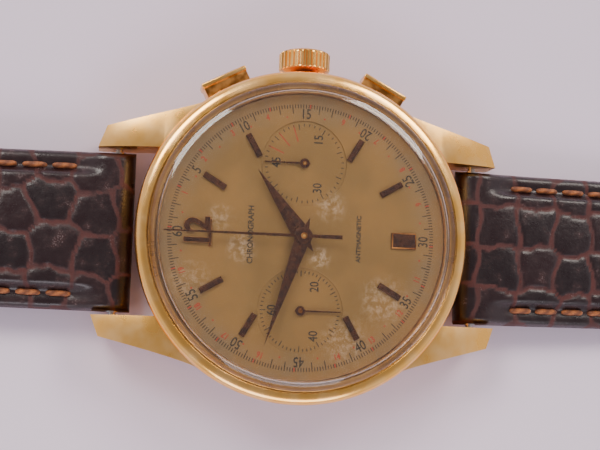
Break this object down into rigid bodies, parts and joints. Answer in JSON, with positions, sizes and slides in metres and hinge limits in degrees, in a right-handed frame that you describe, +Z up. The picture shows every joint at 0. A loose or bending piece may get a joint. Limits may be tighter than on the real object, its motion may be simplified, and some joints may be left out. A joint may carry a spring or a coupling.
{
  "type": "chronograph wristwatch",
  "caption": "Hand-wound two-register chronograph wristwatch in a round gilt case, on a buckled leather strap laid open. It shows and times hours, minutes and seconds.",
  "frame": {"origin": "centre of the case back's flat outer face", "axes": "+Z up through the dial, +Y to 12 o'clock along the open strap, +X to the crown at 3 o'clock"},
  "size_m": [0.0395, 0.2389, 0.012],
  "materials": {
    "gold_plate": "polished",
    "steel": "polished",
    "gilt_brass": "satin",
    "nickel_plate": "satin",
    "champagne_dial": "satin, aged",
    "darkened_rose_gilt": "polished, darkened",
    "acrylic": "clear",
    "black_rubber": "matte",
    "brown_leather": "glazed"
  },
  "bodies": {
    "case": {"case_middle": "gold_plate", "bezel": "gold_plate", "crystal": "acrylic", "case_back": "steel", "movement_ring": "gilt_brass", "dial": "champagne_dial", "hour_marker_1": "darkened_rose_gilt", "hour_marker_2": "darkened_rose_gilt", "hour_marker_4": "darkened_rose_gilt", "hour_marker_5": "darkened_rose_gilt", "hour_marker_7": "darkened_rose_gilt", "hour_marker_8": "darkened_rose_gilt", "hour_marker_10": "darkened_rose_gilt", "hour_marker_11": "darkened_rose_gilt", "hour_marker_6": "darkened_rose_gilt", "numeral_twelve": "darkened_rose_gilt", "main_plate": "nickel_plate", "train_bridge": "nickel_plate", "balance_cock": "nickel_plate", "chronograph_bridge": "nickel_plate", "crown_tube": "steel", "start_pusher_spring": "steel", "reset_pusher_spring": "steel", "hairspring": "steel", "spring_bar_12": "steel", "spring_bar_6": "steel"},
    "crown_slider": {"crown_gasket": "black_rubber"},
    "crown": {"crown": "gold_plate", "winding_stem": "steel"},
    "crown_wheel": {"crown_wheel": "steel"},
    "intermediate_wheel": {"intermediate_winding_wheel": "steel"},
    "ratchet_wheel": {"ratchet_wheel": "steel"},
    "start_pusher": {"start_pusher": "gold_plate"},
    "reset_pusher": {"reset_pusher": "gold_plate"},
    "operating_lever": {"operating_lever": "steel"},
    "reset_hammer": {"reset_hammer": "steel"},
    "minute_hand": {"minute_hand": "darkened_rose_gilt", "cannon_pinion": "gilt_brass"},
    "minute_wheel": {"minute_wheel": "gilt_brass"},
    "hour_hand": {"hour_hand": "darkened_rose_gilt", "hour_wheel": "gilt_brass"},
    "running_seconds": {"running_seconds_hand": "darkened_rose_gilt", "fourth_wheel": "gilt_brass"},
    "third_wheel": {"third_wheel": "gilt_brass"},
    "centre_wheel": {"centre_wheel": "gilt_brass"},
    "escape_wheel": {"escape_wheel": "steel"},
    "barrel": {"mainspring_barrel": "gilt_brass"},
    "balance": {"balance_wheel": "gilt_brass"},
    "pallet_fork": {"pallet_fork": "steel"},
    "chronograph_hand": {"chronograph_hand": "darkened_rose_gilt", "chronograph_runner": "gilt_brass"},
    "minute_counter": {"minute_counter_hand": "darkened_rose_gilt", "minute_counter_wheel": "gilt_brass"},
    "strap_buckle_side": {"strap_buckle_side": "brown_leather", "fixed_keeper": "brown_leather", "buckle_pin": "steel"},
    "strap_tip_side": {"strap_tip_side": "brown_leather"},
    "sliding_keeper": {"sliding_keeper": "brown_leather"},
    "buckle_frame": {"buckle_frame": "gold_plate"},
    "buckle_tongue": {"buckle_tongue": "gold_plate"}
  },
  "joints": [
    {"name": "crown_pull", "type": "slide", "parent": "case", "child": "crown_slider", "axis": [1, 0, 0], "range_m": [0, 0.001]},
    {"name": "crown_turn", "type": "hinge", "parent": "crown_slider", "child": "crown", "pos_m": [0, 0, 0.00495], "axis": [1, 0, 0], "continuous": true},
    {"name": "crown_wheel_turn", "type": "hinge", "parent": "case", "child": "crown_wheel", "pos_m": [0.01195, 0, 0.003], "axis": [0, 0, 1], "continuous": true},
    {"name": "intermediate_wheel_turn", "type": "hinge", "parent": "case", "child": "intermediate_wheel", "pos_m": [0.00865, 0.00326, 0.00245], "axis": [0, 0, 1], "continuous": true},
    {"name": "ratchet_wheel_turn", "type": "hinge", "parent": "case", "child": "ratchet_wheel", "pos_m": [0.0029, 0.0062, 0.00245], "axis": [0, 0, 1], "continuous": true},
    {"name": "start_push", "type": "slide", "parent": "case", "child": "start_pusher", "axis": [-0.887, -0.4617, 0], "range_m": [0, 0.001], "stiffness_N_per_m": 1500, "springref_m": -0.0005, "deforming": ["start_pusher_spring"]},
    {"name": "reset_push", "type": "slide", "parent": "case", "child": "reset_pusher", "axis": [-0.887, 0.4617, 0], "range_m": [0, 0.001], "stiffness_N_per_m": 1500, "springref_m": -0.0005, "deforming": ["reset_pusher_spring"]},
    {"name": "operating_lever_swing", "type": "hinge", "parent": "case", "child": "operating_lever", "pos_m": [0.0096, 0.0094, 0.00245], "axis": [0, 0, 1], "range_deg": [-17, 0]},
    {"name": "reset_hammer_swing", "type": "hinge", "parent": "case", "child": "reset_hammer", "pos_m": [0.0096, -0.0094, 0.00245], "axis": [0, 0, 1], "range_deg": [0, 17]},
    {"name": "minute_hand_turn", "type": "hinge", "parent": "case", "child": "minute_hand", "pos_m": [0, 0, 0.0081], "axis": [0, 0, 1], "continuous": true},
    {"name": "minute_wheel_turn", "type": "hinge", "parent": "case", "child": "minute_wheel", "pos_m": [-0.00177, -0.00236, 0.0064], "axis": [0, 0, 1], "continuous": true},
    {"name": "hour_hand_turn", "type": "hinge", "parent": "case", "child": "hour_hand", "pos_m": [0, 0, 0.0078], "axis": [0, 0, 1], "continuous": true},
    {"name": "running_seconds_turn", "type": "hinge", "parent": "case", "child": "running_seconds", "pos_m": [-0.008, 0, 0.0074], "axis": [0, 0, 1], "continuous": true},
    {"name": "third_wheel_turn", "type": "hinge", "parent": "case", "child": "third_wheel", "pos_m": [-0.004, -0.0036, 0.004], "axis": [0, 0, 1], "continuous": true},
    {"name": "centre_wheel_turn", "type": "hinge", "parent": "case", "child": "centre_wheel", "pos_m": [0, 0, 0.0036], "axis": [0, 0, 1], "continuous": true},
    {"name": "escape_wheel_turn", "type": "hinge", "parent": "case", "child": "escape_wheel", "pos_m": [-0.0096, -0.00372, 0.0036], "axis": [0, 0, 1], "continuous": true},
    {"name": "barrel_turn", "type": "hinge", "parent": "case", "child": "barrel", "pos_m": [0.0029, 0.0062, 0.0044], "axis": [0, 0, 1], "continuous": true},
    {"name": "balance_swing", "type": "hinge", "parent": "case", "child": "balance", "pos_m": [-0.0042, -0.0096, 0.0032], "axis": [0, 0, 1], "range_deg": [-270, 270], "stiffness_Nm_per_rad": 0.00000015},
    {"name": "pallet_fork_swing", "type": "hinge", "parent": "case", "child": "pallet_fork", "pos_m": [-0.0081, -0.0066, 0.0036], "axis": [0, 0, 1], "range_deg": [-8.1, 8.1]},
    {"name": "chronograph_hand_turn", "type": "hinge", "parent": "case", "child": "chronograph_hand", "pos_m": [0, 0, 0.0084], "axis": [0, 0, 1], "continuous": true},
    {"name": "minute_counter_turn", "type": "hinge", "parent": "case", "child": "minute_counter", "pos_m": [0.008, 0, 0.0074], "axis": [0, 0, 1], "continuous": true},
    {"name": "strap_buckle_side_swing", "type": "hinge", "parent": "case", "child": "strap_buckle_side", "pos_m": [0, 0.02005, 0.0031], "axis": [1, 0, 0], "range_deg": [-80, 60]},
    {"name": "strap_tip_side_swing", "type": "hinge", "parent": "case", "child": "strap_tip_side", "pos_m": [0, -0.02005, 0.0031], "axis": [1, 0, 0], "range_deg": [-60, 80]},
    {"name": "sliding_keeper_slide", "type": "slide", "parent": "strap_buckle_side", "child": "sliding_keeper", "axis": [0, 1, 0], "range_m": [-0.015, 0.0065]},
    {"name": "buckle_frame_swing", "type": "hinge", "parent": "strap_buckle_side", "child": "buckle_frame", "pos_m": [0, 0.09405, 0.00205], "axis": [1, 0, 0], "range_deg": [-60, 40]},
    {"name": "buckle_tongue_swing", "type": "hinge", "parent": "buckle_frame", "child": "buckle_tongue", "pos_m": [0, 0.09405, 0.00205], "axis": [1, 0, 0], "range_deg": [0, 88]}
  ],
  "couplings": [
    {"joint": "crown_wheel_turn", "follows": "crown_turn", "ratio": -0.54264},
    {"joint": "intermediate_wheel_turn", "follows": "crown_turn", "ratio": 0.70223},
    {"joint": "ratchet_wheel_turn", "follows": "crown_turn", "ratio": -0.33161},
    {"joint": "operating_lever_swing", "follows": "start_push", "rad_per_m": -289.73},
    {"joint": "reset_hammer_swing", "follows": "reset_push", "rad_per_m": 289.73},
    {"joint": "minute_wheel_turn", "follows": "minute_hand_turn", "ratio": -0.33333},
    {"joint": "hour_hand_turn", "follows": "minute_hand_turn", "ratio": 0.083333},
    {"joint": "third_wheel_turn", "follows": "running_seconds_turn", "ratio": -0.13333},
    {"joint": "centre_wheel_turn", "follows": "running_seconds_turn", "ratio": 0.016667},
    {"joint": "escape_wheel_turn", "follows": "running_seconds_turn", "ratio": -10},
    {"joint": "barrel_turn", "follows": "running_seconds_turn", "ratio": -0.002564},
    {"joint": "pallet_fork_swing", "follows": "balance_swing", "ratio": -0.03},
    {"joint": "minute_counter_turn", "follows": "chronograph_hand_turn", "ratio": 0.022222}
  ]
}
